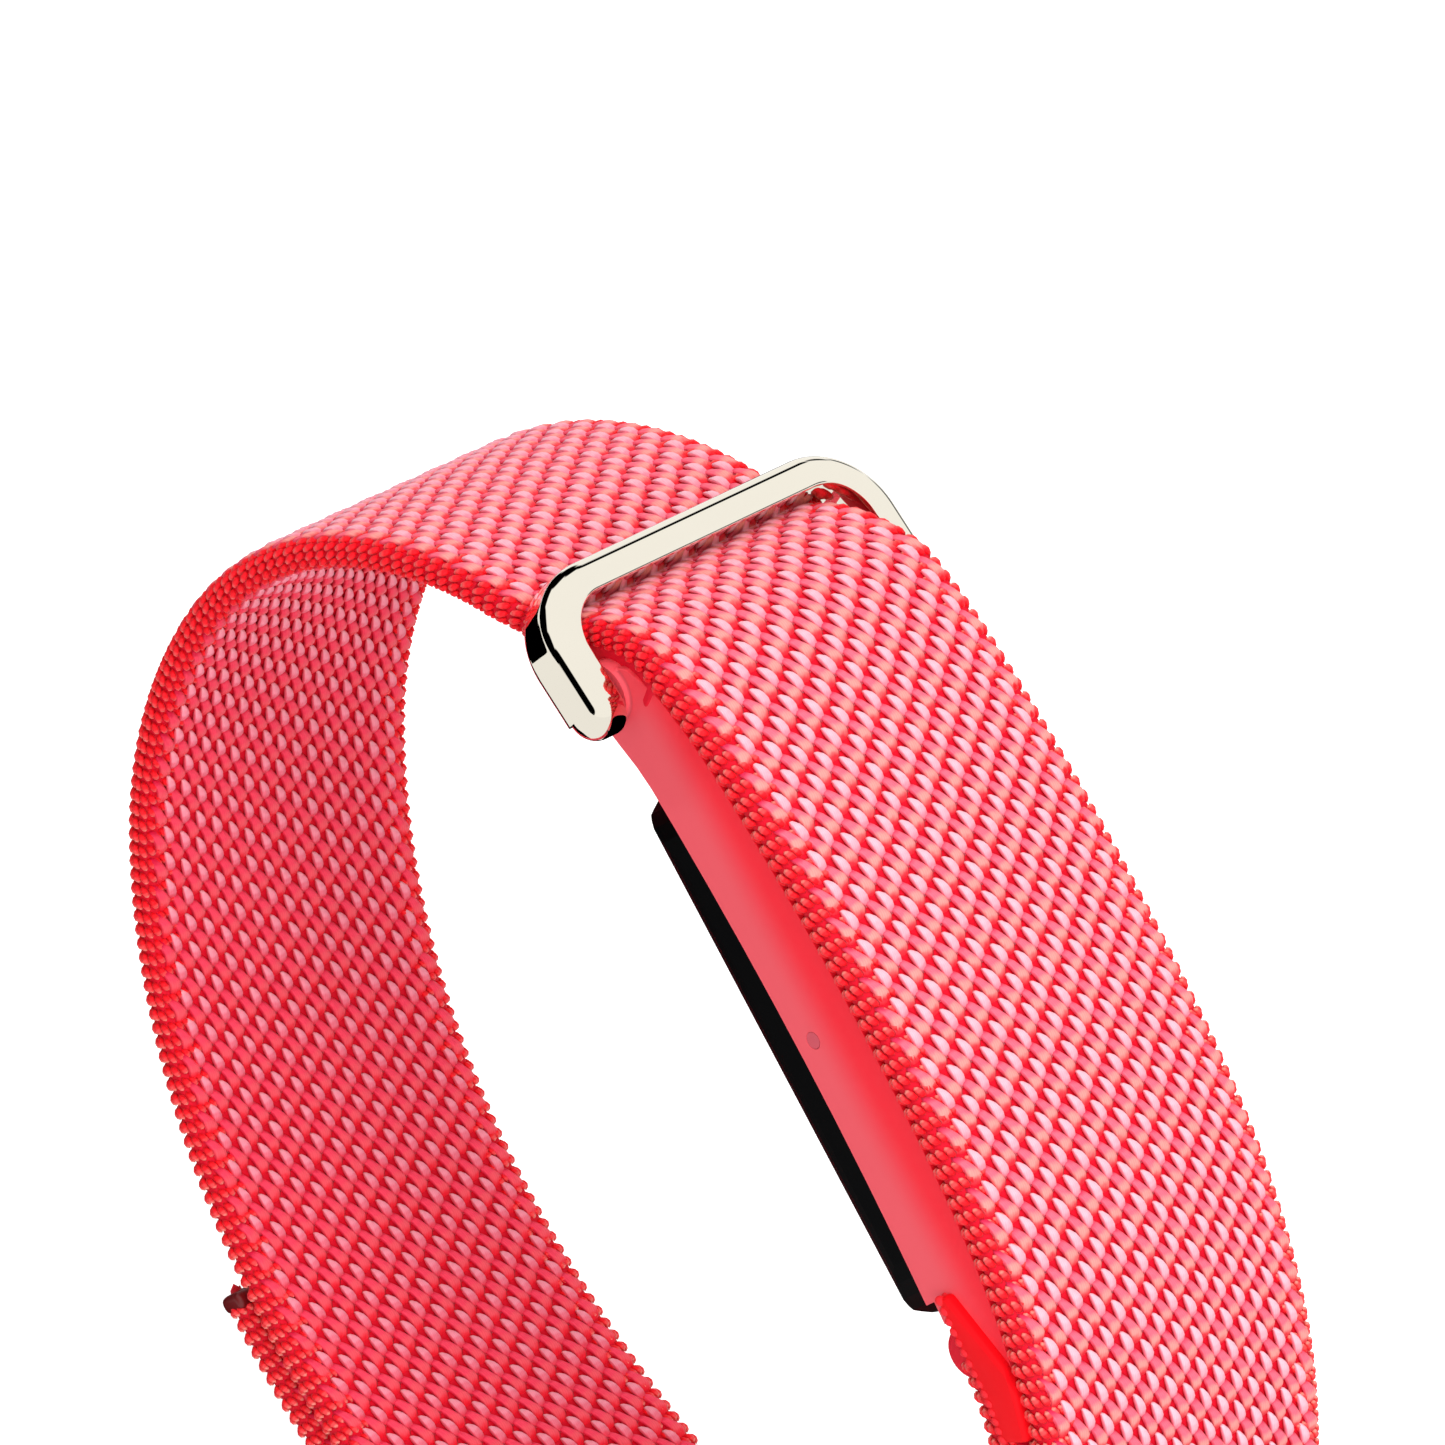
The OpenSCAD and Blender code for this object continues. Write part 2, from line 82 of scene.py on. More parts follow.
def rayThrough(x, y):
    # the camera's ray through a pixel of the photograph
    wide, high = cameraSet["frame"]
    longest, data = max(wide, high), camera.data
    aim = Vector((
        x - wide/2 + data.shift_x*longest, high/2 - y + data.shift_y*longest,
        -longest*data.lens/data.sensor_width,
    ))
    return camera.matrix_world.translation, (camera.matrix_world.to_3x3() @ aim).normalized()


def seenAt(places):
    # where places of the frame show, in pixels of the photograph
    wide, high = cameraSet["frame"]
    longest, data = max(wide, high), camera.data
    turn = np.array(camera.matrix_world.inverted())
    local = places @ turn[:3, :3].T + turn[:3, 3]
    reach = longest*data.lens/data.sensor_width/-local[:, 2]
    x = wide/2 + local[:, 0]*reach - data.shift_x*longest
    y = high/2 - local[:, 1]*reach + data.shift_y*longest
    return np.stack([x, y], 1)


def treeOf(pieces):
    # what carries a piece, as one tree of faces
    verts, faces = [], []
    for piece in pieces:
        start = len(verts)
        verts += [v.co.copy() for v in piece.data.vertices]
        faces += [[start + k for k in p.vertices] for p in piece.data.polygons]
    return BVHTree.FromPolygons(verts, faces)


def surfaceAt(x, y, tree):
    # the place on a surface that shows at a pixel, or the nearest to its ray
    eye, aim = rayThrough(x, y)
    hit = tree.ray_cast(eye, aim)[0]
    if hit is None:
        steps = [eye + aim*(0.25 + 0.001*k) for k in range(300)]
        hit = min((tree.find_nearest(p) for p in steps), key=lambda found: found[3])[0]
    return hit


# lengths in mm and turns in degrees as in part.scad, both ways from a point left of the ring
strapRun = {
    "start": (-6.6, 61.85, -5.5),
    "over": [
        (4.08, -14.5), (0.71, 52.6), (2.38, -16.3), (3, -26),
        (3, -23.9), (4, -9.7), (10, -5), (10, -4.6), (5.66, -6.3),
        (14, -25.1), (4, -5.7), (2.505, 0), (14.82, -45), (14.02, -45), (10, 0), (13.04, -31),
        (0.06, 0), (14.54, -16), (4, -6),
    ],
    "wrist": [
        (10, 26), (12, 35), (14, 33), (16, 25.5), (12, 19), (14, 16),
        (12, 31), (10, 0), (25, 90), (1.4, 0), (10, 17), (4.8, 20),
    ],
    "peelFrom": 115.255,                                 # where the free end starts
}
strap = {
    "thick": 1.5,
    # the ground cloth under the yarns
    "coreHalf": 0.62, "coreEdge": 8.86, "coreRound": 0.56, "coreStep": 0.6, "coreCuts": 9,
    # the weave: its columns, how far its yarns stray from their places, and the sides of a lump
    "columnGap": 1.083, "columns": 15, "outerPitch": 1.512, "innerPitch": 1.53,
    "strayAcross": 0.03, "strayAlong": 0.045, "floatSides": 7, "ropeSides": 6,
    "crown": 0.33, "crownEdge": 7.58, "crownAt": (10, 16, 46, 55),   # raised middle over the cradle
    "pinch": 0.05, "pinchAt": (3.0, 10.5),               # drawn in where the ring holds it
    "peelBlend": (-1.7, 2.7),                            # bend of the free end about its hinge
}


def stepAlong(place, length, turn):
    x, z, heading = place
    if turn == 0:
        return x + length*math.cos(heading), z + length*math.sin(heading), heading
    after, radius = heading + math.radians(turn), length/math.radians(turn)
    return (
        x + radius*(math.sin(after) - math.sin(heading)),
        z - radius*(math.cos(after) - math.cos(heading)), after,
    )


def strapArcs():
    # the whole run as arcs: distance, x, z, heading and curvature at the start of each
    x, z, heading = strapRun["start"]
    place = (x, z, math.radians(heading + 180))
    for length, turn in strapRun["wrist"]:
        place = stepAlong(place, length, turn)
    place = (place[0], place[1], place[2] - math.pi)
    at = -sum(length for length, turn in strapRun["wrist"])
    arcs = []
    for length, turn in [(n, -t) for n, t in reversed(strapRun["wrist"])] + strapRun["over"]:
        arcs.append((at, *place, math.radians(turn)/length))
        place = stepAlong(place, length, turn)
        at += length
    return np.array(arcs), at


arcs, strapEnd = strapArcs()
strapStart = arcs[0, 0]


def ontoStrap(along, across, out):
    # flat strap to place in the frame: distance along, across and out from its middle, in mm
    low, high = strap["pinchAt"]
    drawn = np.clip(1 - np.abs((2*along - low - high)/(high - low + 3))**3, 0, 1)
    across = across*(1 - strap["pinch"]*drawn)
    rise, full, fall, flat = strap["crownAt"]
    raised = np.clip(np.minimum((along - rise)/(full - rise), (flat - along)/(flat - fall)), 0, 1)
    raised = raised*raised*(3 - 2*raised)
    out = out*(1 - 0.1*drawn) + strap["crown"]*raised*(1 - (across/strap["crownEdge"])**2)
    found = arcs[np.clip(np.searchsorted(arcs[:, 0], along, side="right") - 1, 0, len(arcs) - 1)]
    far, x, z, heading, curve = along - found[:, 0], found[:, 1], found[:, 2], found[:, 3], found[:, 4]
    after = heading + curve*far
    bent, safe = np.abs(curve) > 1e-9, np.where(np.abs(curve) > 1e-9, curve, 1)
    px = x + np.where(bent, (np.sin(after) - np.sin(heading))/safe, far*np.cos(heading))
    pz = z + np.where(bent, (np.cos(heading) - np.cos(after))/safe, far*np.sin(heading))
    return np.stack([px - out*np.sin(after), across, pz + out*np.cos(after)], 1)*mm


def points(mesh):
    flat = np.empty(len(mesh.vertices)*3)
    mesh.vertices.foreach_get("co", flat)
    return flat.reshape(-1, 3)


def wrapStrap(mesh):
    flat = points(mesh)
    mesh.vertices.foreach_set("co", ontoStrap(flat[:, 0], flat[:, 1], flat[:, 2]).ravel())
    mesh.update()


def addPiece(name, bm, materials, smooth=True):
    # turns a bmesh into a piece and gives it its materials
    mesh = bpy.data.meshes.new(name)
    bm.to_mesh(mesh)
    bm.free()
    for polygon in mesh.polygons:
        polygon.use_smooth = smooth
    for material in materials:
        mesh.materials.append(material)
    piece = bpy.data.objects.new(name, mesh)
    bpy.context.scene.collection.objects.link(piece)
    return piece


def roundOff(bm, geom, size, segments, affect="EDGES", clamp=False):
    bmesh.ops.bevel(
        bm, geom=geom, offset=size, offset_type="OFFSET", segments=segments, profile=0.5, affect=affect,
        material=-1, clamp_overlap=clamp,
    )


def turnBy(bm, verts, angle, axis):
    bmesh.ops.rotate(bm, verts=verts, cent=(0, 0, 0), matrix=Matrix.Rotation(angle, 3, axis))


def facesOf(verts):
    # every face that meets these vertices, once each and always in the same order
    return list(dict.fromkeys(face for v in verts for face in v.link_faces))


def itemsOf(result, kind):
    # the new items of one kind that an operator returns
    items = result["geom"] if "geom" in result else result["geom_last"]
    return [item for item in items if isinstance(item, kind)]


def newGroup(name, inputs, outputs):
    group = bpy.data.node_groups.new(name, "ShaderNodeTree")
    for label, kind, value in inputs:
        group.interface.new_socket(label, in_out="INPUT", socket_type=kind).default_value = value
    for label, kind in outputs:
        group.interface.new_socket(label, in_out="OUTPUT", socket_type=kind)
    return group, group.nodes.new("NodeGroupInput"), group.nodes.new("NodeGroupOutput")


def mathNode(tree, operation, *values):
    # a sum of sockets and plain numbers
    node = tree.nodes.new("ShaderNodeMath")
    node.operation = operation
    for given, value in zip(node.inputs, values):
        if isinstance(value, bpy.types.NodeSocket):
            tree.links.new(value, given)
        else:
            given.default_value = value
    return node.outputs[0]


def rangeNode(tree, value, low, high, top=1, smooth=True):
    # 0 to top as a value goes from low to high
    node = tree.nodes.new("ShaderNodeMapRange")
    if smooth:
        node.interpolation_type = "SMOOTHSTEP"
    for label, number in (("From Min", low), ("From Max", high), ("To Max", top)):
        node.inputs[label].default_value = number
    tree.links.new(value, node.inputs["Value"])
    return node.outputs["Result"]


def mixNode(tree, share, first, second, way="MIX"):
    # two colours mixed, each from a socket or fixed
    node = tree.nodes.new("ShaderNodeMix")
    node.data_type, node.blend_type = "RGBA", way
    for label, value in (("Factor", share), ("A", first), ("B", second)):
        if isinstance(value, bpy.types.NodeSocket):
            tree.links.new(value, node.inputs[label])
        else:
            node.inputs[label].default_value = value
    return node.outputs["Result"]


def noiseNode(tree, scale, detail=2):
    # noise that stays with the piece
    place, node = tree.nodes.new("ShaderNodeTexCoord"), tree.nodes.new("ShaderNodeTexNoise")
    node.inputs["Detail"].default_value = detail
    tree.links.new(place.outputs["Object"], node.inputs["Vector"])
    if isinstance(scale, bpy.types.NodeSocket):
        tree.links.new(scale, node.inputs["Scale"])
    else:
        node.inputs["Scale"].default_value = scale
    return node.outputs["Fac"]


def grainGroup():
    # moulded or rolled grain: mottled colour, roughness and a height for the bump
    group, given, put = newGroup(
        "surfaceGrain",
        [
            ("Colour", "NodeSocketColor", (0.5, 0.5, 0.5, 1)), ("Scale", "NodeSocketFloat", 900),
            ("Mottle", "NodeSocketFloat", 0.1), ("Roughness", "NodeSocketFloat", 0.4),
            ("Wear", "NodeSocketFloat", 0.12),
        ],
        [("Colour", "NodeSocketColor"), ("Roughness", "NodeSocketFloat"), ("Height", "NodeSocketFloat")],
    )
    given = given.outputs
    fine, broad = noiseNode(group, given["Scale"], detail=5), noiseNode(group, 160)
    mottled = mathNode(group, "MULTIPLY", rangeNode(group, broad, 0.35, 0.65, smooth=False), given["Mottle"])
    tint = mixNode(group, mottled, given["Colour"], (0.55, 0.5, 0.5, 1), "MULTIPLY")
    dull = mathNode(group, "MULTIPLY_ADD", fine, given["Wear"], given["Roughness"])
    for label, value in (("Colour", tint), ("Roughness", dull), ("Height", fine)):
        group.links.new(value, put.inputs[label])
    return group


grain = grainGroup()


def rgb(red, green, blue):
    # a colour as a screen shows it, 0 to 255, to the linear one that a shader takes
    return tuple(((c/255 + 0.055)/1.055)**2.4 if c > 10 else c/3294.6 for c in (red, green, blue)) + (1,)


def setInputs(node, **values):
    for label, value in values.items():
        node.inputs[label.replace("_", " ")].default_value = value


def placeGroup(tree, group, **values):
    node = tree.nodes.new("ShaderNodeGroup")
    node.node_tree = group
    setInputs(node, **values)
    return node


def newMaterial(name, bump=0.0, distance=0.03*mm, **sockets):
    # a plain material whose constant values sit on the shader's own sockets
    material = bpy.data.materials.new(name)
    material.use_nodes = True
    tree = material.node_tree
    shader = tree.nodes["Principled BSDF"]
    setInputs(shader, **sockets)
    raised = None
    if bump:
        raised = tree.nodes.new("ShaderNodeBump")
        setInputs(raised, Strength=bump, Distance=distance)
        tree.links.new(raised.outputs["Normal"], shader.inputs["Normal"])
    return material, tree, shader, raised


def grained(name, colour, roughness, scale=900, mottle=0.1, bump=0.15, wear=0.12, **sockets):
    # any hard finish: plastic, metal or board
    material, tree, shader, raised = newMaterial(name, bump, **sockets)
    made = placeGroup(
        tree, grain, Colour=rgb(*colour), Scale=scale, Mottle=mottle, Roughness=roughness, Wear=wear,
    )
    tree.links.new(made.outputs["Colour"], shader.inputs["Base Color"])
    tree.links.new(made.outputs["Roughness"], shader.inputs["Roughness"])
    if raised:
        tree.links.new(made.outputs["Height"], raised.inputs["Height"])
    return material


def fibreGroup():
    # filaments along a yarn, its colour from where it comes up to where it dives, and painted shade on its
    # sides and in the hollows between its filaments
    colours = ["Tip", "Body", "Tail", "Dive", "Side"]
    group, given, put = newGroup(
        "yarnFibres",
        [(label, "NodeSocketColor", (1, 1, 1, 1)) for label in colours]
        + [("Twist", "NodeSocketFloat", 1.0), ("Count", "NodeSocketFloat", 7.0)],
        [("Colour", "NodeSocketColor"), ("Height", "NodeSocketFloat")],
    )
    place, split = group.nodes.new("ShaderNodeUVMap"), group.nodes.new("ShaderNodeSeparateXYZ")
    place.uv_map = "yarn"
    group.links.new(place.outputs["UV"], split.inputs[0])
    given, along, across = given.outputs, split.outputs["X"], split.outputs["Y"]
    # filament lines
    lean = mathNode(group, "MULTIPLY_ADD", along, given["Twist"], across)
    wave = mathNode(group, "SINE", mathNode(group, "MULTIPLY", lean, given["Count"]))
    rise = mathNode(group, "MULTIPLY_ADD", wave, 0.5, 0.5)
    # the colour changes along the yarn a little unevenly, by a patchy noise
    shift = mathNode(group, "MULTIPLY_ADD", noiseNode(group, 2200), 0.22, along)
    uneven = mathNode(group, "SUBTRACT", shift, 0.11)
    colour = given["Tip"]
    for label, start, stop in (("Body", 0.12, 0.34), ("Tail", 0.42, 0.62), ("Dive", 0.68, 0.88)):
        colour = mixNode(group, rangeNode(group, uneven, start, stop), colour, given[label])
    # painted shade: the sides turn deep red
    far = mathNode(group, "ABSOLUTE", mathNode(group, "SUBTRACT", across, 0.5))
    colour = mixNode(group, rangeNode(group, far, 0.33, 0.5, top=0.85), colour, given["Side"])
    # painted shade: the hollows between the filaments are a little deeper in colour
    filamentShade = mathNode(group, "MULTIPLY_ADD", rise, -0.16, 0.16)
    group.links.new(mixNode(group, filamentShade, colour, given["Side"]), put.inputs["Colour"])
    group.links.new(rise, put.inputs["Height"])
    return group


fibres = fibreGroup()


def yarn(name, colours, twist=0.5, count=40, bump=0.3):
    material, tree, shader, raised = newMaterial(
        name, bump, Roughness=0.55, Specular_IOR_Level=0.3, Sheen_Weight=0.06, Sheen_Roughness=0.4,
    )
    made = placeGroup(tree, fibres, Twist=twist, Count=count, **{k: rgb(*c) for k, c in colours.items()})
    tree.links.new(made.outputs["Colour"], shader.inputs["Base Color"])
    tree.links.new(made.outputs["Height"], raised.inputs["Height"])
    return material


# each yarn's side colour is painted shade on the sides of its lumps
yarnColours = {
    "float": {
        "Tip": (255, 208, 222), "Body": (255, 192, 206), "Tail": (255, 176, 190), "Dive": (255, 140, 158),
        "Side": (236, 80, 108),
    },
    "rope": {
        "Tip": (222, 40, 84), "Body": (252, 108, 130), "Tail": (255, 156, 148), "Dive": (244, 44, 58),
        "Side": (226, 50, 80),
    },
    # a bead's Tip colour is a painted highlight on the end of each bead that faces the light
    "bead": {
        "Tip": (255, 156, 142), "Body": (255, 78, 80), "Tail": (250, 20, 36), "Dive": (240, 4, 26),
        "Side": (234, 4, 26),
    },
    # the inner face's yarns: darker, redder copies of the float and rope colours, painted shade for the face
    # that turns away from the light
    "innerFloat": {
        "Tip": (250, 184, 196), "Body": (252, 156, 174), "Tail": (244, 120, 140), "Dive": (240, 70, 92),
        "Side": (222, 30, 68),
    },
    "innerRope": {
        "Tip": (214, 6, 58), "Body": (252, 66, 96), "Tail": (252, 88, 102), "Dive": (250, 22, 46),
        "Side": (218, 6, 50),
    },
}
yarns = {kind: yarn(kind + "Yarn", colours) for kind, colours in yarnColours.items()}
ground = grained(
    "groundYarn", (228, 14, 44), 0.65, scale=3000, mottle=0.25, bump=0.4, Specular_IOR_Level=0.25,
)


# one yarn from where it comes up to where it dives: share of its length, then along, across
# and out from its place, half width and half height
floatShape = [
    (0.00, -0.56, -0.13, 0.60, 0.00, 0.00), (0.14, -0.46, -0.11, 0.70, 0.13, 0.08),
    (0.32, -0.24, -0.06, 0.79, 0.25, 0.16), (0.50, 0.00, 0.00, 0.82, 0.30, 0.18),
    (0.68, 0.24, 0.05, 0.80, 0.31, 0.17), (0.86, 0.50, 0.09, 0.72, 0.27, 0.13),
    (1.00, 0.78, 0.12, 0.60, 0.00, 0.00),
]
ropeShape = [
    (0.00, 0.22, 0.08, 0.50, 0.00, 0.00), (0.13, 0.40, 0.19, 0.63, 0.21, 0.12),
    (0.28, 0.66, 0.34, 0.71, 0.28, 0.16), (0.44, 0.96, 0.50, 0.74, 0.33, 0.18),
    (0.60, 1.22, 0.63, 0.73, 0.39, 0.18), (0.75, 1.48, 0.70, 0.68, 0.42, 0.16),
    (0.88, 1.76, 0.67, 0.60, 0.36, 0.11), (1.00, 2.02, 0.60, 0.47, 0.00, 0.00),
]
beadShape = [
    (0.00, -0.34, -0.05, 0.00, 0.00, 0.00), (0.20, -0.24, -0.04, 0.05, 0.13, 0.12),
    (0.50, -0.02, 0.00, 0.07, 0.19, 0.17), (0.80, 0.20, 0.05, 0.03, 0.16, 0.13),
    (1.00, 0.36, 0.09, -0.04, 0.00, 0.00),
]


def yarnLump(bm, shape, sides, at, materialIndex, flip=1):
    # one rise of a yarn: a ball drawn out along the places that its shape gives
    uv = bm.loops.layers.uv.get("yarn") or bm.loops.layers.uv.new("yarn")
    table = np.array(shape)
    made = bmesh.ops.create_uvsphere(bm, u_segments=sides, v_segments=len(shape) - 1, radius=1)["verts"]
    turnBy(bm, made, math.pi/2, "Y")
    for v in made:
        share = (len(shape) - 1)*(1 - math.acos(max(-1, min(1, v.co.x)))/math.pi)
        row = table[min(len(shape) - 1, round(share))]
        size = math.hypot(v.co.y, v.co.z) or 1
        v.co = (row[1], row[2] + row[4]*v.co.y/size, row[3] + row[5]*v.co.z/size)
    for face in facesOf(made):
        face.material_index = materialIndex
        for loop in face.loops:
            x, y, z = loop.vert.co
            middle = np.interp(x, table[:, 1], table[:, 2])
            half = max(0.02, np.interp(x, table[:, 1], table[:, 4]))
            loop[uv].uv = (np.interp(x, table[:, 1], table[:, 0]), 0.5 + 0.5*(y - middle)/half)
    if flip < 0:
        turnBy(bm, made, math.pi, "Y")
    bmesh.ops.translate(bm, verts=made, vec=at)
    return made


def repeatAlong(bm, pitch, count):
    # doubles what is there until it repeats count times
    have = 1
    while have < count:
        verts = list(bm.verts)
        more = min(have, count - have)
        verts = verts[:len(verts)//have*more]
        made = bmesh.ops.duplicate(bm, geom=verts + facesOf(verts))
        bmesh.ops.translate(bm, verts=itemsOf(made, bmesh.types.BMVert), vec=(pitch*have, 0, 0))
        have += more


def settle(mesh, seed):
    # small unevenness, nearly the same for all the points of a lump
    flat = points(mesh)
    flat[:, 1] += strap["strayAcross"]*np.sin(flat[:, 0]*0.83 + seed)*np.sin(flat[:, 1]*1.7 + seed)
    flat[:, 0] += strap["strayAlong"]*np.sin(flat[:, 0]*0.37 + flat[:, 1]*2.9 + seed)
    mesh.vertices.foreach_set("co", flat.ravel())


def strapCore(name, low, high):
    # the ground cloth: a flat bar with round edges, cut into short steps and bent along the run
    bm = bmesh.new()
    bmesh.ops.create_cube(bm, size=1)
    bmesh.ops.scale(bm, verts=bm.verts, vec=(high - low, 2*strap["coreEdge"], 2*strap["coreHalf"]))
    long = [e for e in bm.edges if abs(e.verts[0].co.x - e.verts[1].co.x) > 1]
    roundOff(bm, long, strap["coreRound"], 5)
    wide = [e for e in bm.edges if abs(e.verts[0].co.y - e.verts[1].co.y) > 4]
    bmesh.ops.subdivide_edges(bm, edges=wide, cuts=strap["coreCuts"])
    long = [e for e in bm.edges if abs(e.verts[0].co.x - e.verts[1].co.x) > 1]
    bmesh.ops.subdivide_edges(bm, edges=long, cuts=int((high - low)/strap["coreStep"]))
    bmesh.ops.translate(bm, verts=bm.verts, vec=((low + high)/2, 0, 0))
    piece = addPiece(name, bm, [ground])
    wrapStrap(piece.data)
    return piece


strapParts = [
    ("wrist", strapStart, 0), ("over", 0, strapRun["peelFrom"]), ("free", strapRun["peelFrom"], strapEnd),
]
cores = [strapCore("strap_core_" + label, low, high) for label, low, high in strapParts]


def alongAt(name, low, high, face):
    # how far along the strap an image point of a float lies
    hit = np.array(surfaceAt(*imagePoints[name], treeOf(cores)))/mm
    steps = np.arange(low, high, 0.02)
    run = ontoStrap(steps, np.full(len(steps), hit[1]), np.full(len(steps), face*strap["coreHalf"]))/mm
    return steps[np.argmin(np.linalg.norm(run - hit, axis=1))]


phase = {1: alongAt("outerFloat", 10, 60, 1), -1: alongAt("innerFloat", -90, -30, -1)}
print("stage: strap core bent, floats counted from", {k: round(float(v), 2) for k, v in phase.items()})


def weaveFace(name, low, high, face, seed):
    # one face of the strap between two distances along it: pale floats and coral ropes
    bm = bmesh.new()
    gap, middle = strap["columnGap"], (strap["columns"] - 1)//2
    pitch = strap["outerPitch"] if face > 0 else strap["innerPitch"]
    for column in range(-1, strap["columns"] + 1):
        across = (column - middle)*gap
        shift = 0.5*pitch*((column - middle) % 2)
        if 0 <= column < strap["columns"]:
            yarnLump(bm, floatShape, strap["floatSides"], (shift, across, 0), 0, flip=face)
        if column < strap["columns"]:
            yarnLump(bm, ropeShape, strap["ropeSides"], (shift, across, 0), 1, flip=face)
    first = math.ceil((low - phase[face])/pitch)
    count = math.ceil((high - phase[face])/pitch) - first
    bmesh.ops.translate(bm, verts=bm.verts, vec=(phase[face] + first*pitch, 0, 0))
    repeatAlong(bm, pitch, count)
    # the inner face takes the shaded copies of the yarn colours: painted shade
    kinds = ("float", "rope") if face > 0 else ("innerFloat", "innerRope")
    piece = addPiece(name, bm, [yarns[kind] for kind in kinds])
    settle(piece.data, seed)
    wrapStrap(piece.data)
    return piece


edge = {
    "pitch": 0.75, "beadGap": 0.36, "round": 0.6, "flat": 0.95, "past": 0.12, "sides": 5,
    "lean": 0.25, "stagger": 0.05,
}


def edgeBeads(name, low, high):
    # the two selvedges: ribs of small beads of twisted yarn that wrap round the strap's edges
    bm = bmesh.new()
    ring, reach = edge["round"], strap["coreEdge"] - edge["round"] + edge["past"]
    half = math.pi*ring/2
    total = int((2*half + 2*edge["flat"])/edge["beadGap"])
    for side in (-1, 1):
        for k in range(total + 1):
            far = (k/total - 0.5)*(2*half + 2*edge["flat"])
            turn = max(-1, min(1, far/half))*math.pi/2
            rest = max(0, abs(far) - half)
            across, out = reach - rest + ring*math.cos(turn), ring*math.sin(turn)
            made = yarnLump(bm, beadShape, edge["sides"], (0, 0, 0), 0)
            turnBy(bm, made, edge["lean"], "Z")
            turnBy(bm, made, -side*(math.pi/2 - turn), "X")
            bmesh.ops.translate(bm, verts=made, vec=(edge["stagger"]*(k % 2), side*across, out))
    first = math.ceil(low/edge["pitch"])
    count = math.floor(high/edge["pitch"]) - first
    bmesh.ops.translate(bm, verts=bm.verts, vec=(edge["pitch"]*(first + 0.5), 0, 0))
    repeatAlong(bm, edge["pitch"], count)
    piece = addPiece(name, bm, [yarns["bead"]])
    wrapStrap(piece.data)
    return piece


# where each piece of the weave begins and ends along the strap
strapRanges = {
    "outer": [
        ("lower", -104, -52), ("upper", -52, 0), ("over", 0, 58), ("under", 58, 115.2),
        ("free", 115.2, 131.3),
    ],
    "inner": [("low", -139.5, -70), ("high", -70, 9.5), ("free", 115.2, 131.3)],
}


def makeStrap():
    made = list(cores)
    for side, face in (("outer", 1), ("inner", -1)):
        for number, (label, low, high) in enumerate(strapRanges[side]):
            made.append(weaveFace("strap_" + side + "_" + label, low, high, face, number))
    made += [edgeBeads("strap_edges_" + label, low, high) for label, low, high in strapParts]
    for piece in made:
        if piece.name.endswith("free"):
            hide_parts("strap_tail")
            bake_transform(piece)
        else:
            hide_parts("woven_strap")
            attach(piece, "band")
    return made


strapPieces = makeStrap()
print("stage: strap woven,", sum(len(p.data.polygons) for p in strapPieces), "faces")

ring = {
    "at": (0.8, 0, 60.5), "pitch": 43,
    "width": 22.5, "length": 7.85, "depth": 2.7, "thick": 1.75, "corner": 4,
    "barAt": -4.65, "front": 1.9, "cornerSteps": 24,
    "rounds": {"front": 0.9, "back": 0.5, "innerFront": 0.16, "innerBack": 0.4},
}


def inRing():
    turn = Matrix.Rotation(math.radians(ring["pitch"]), 4, "Y")
    return Matrix.Scale(mm, 4) @ Matrix.Translation(ring["at"]) @ turn


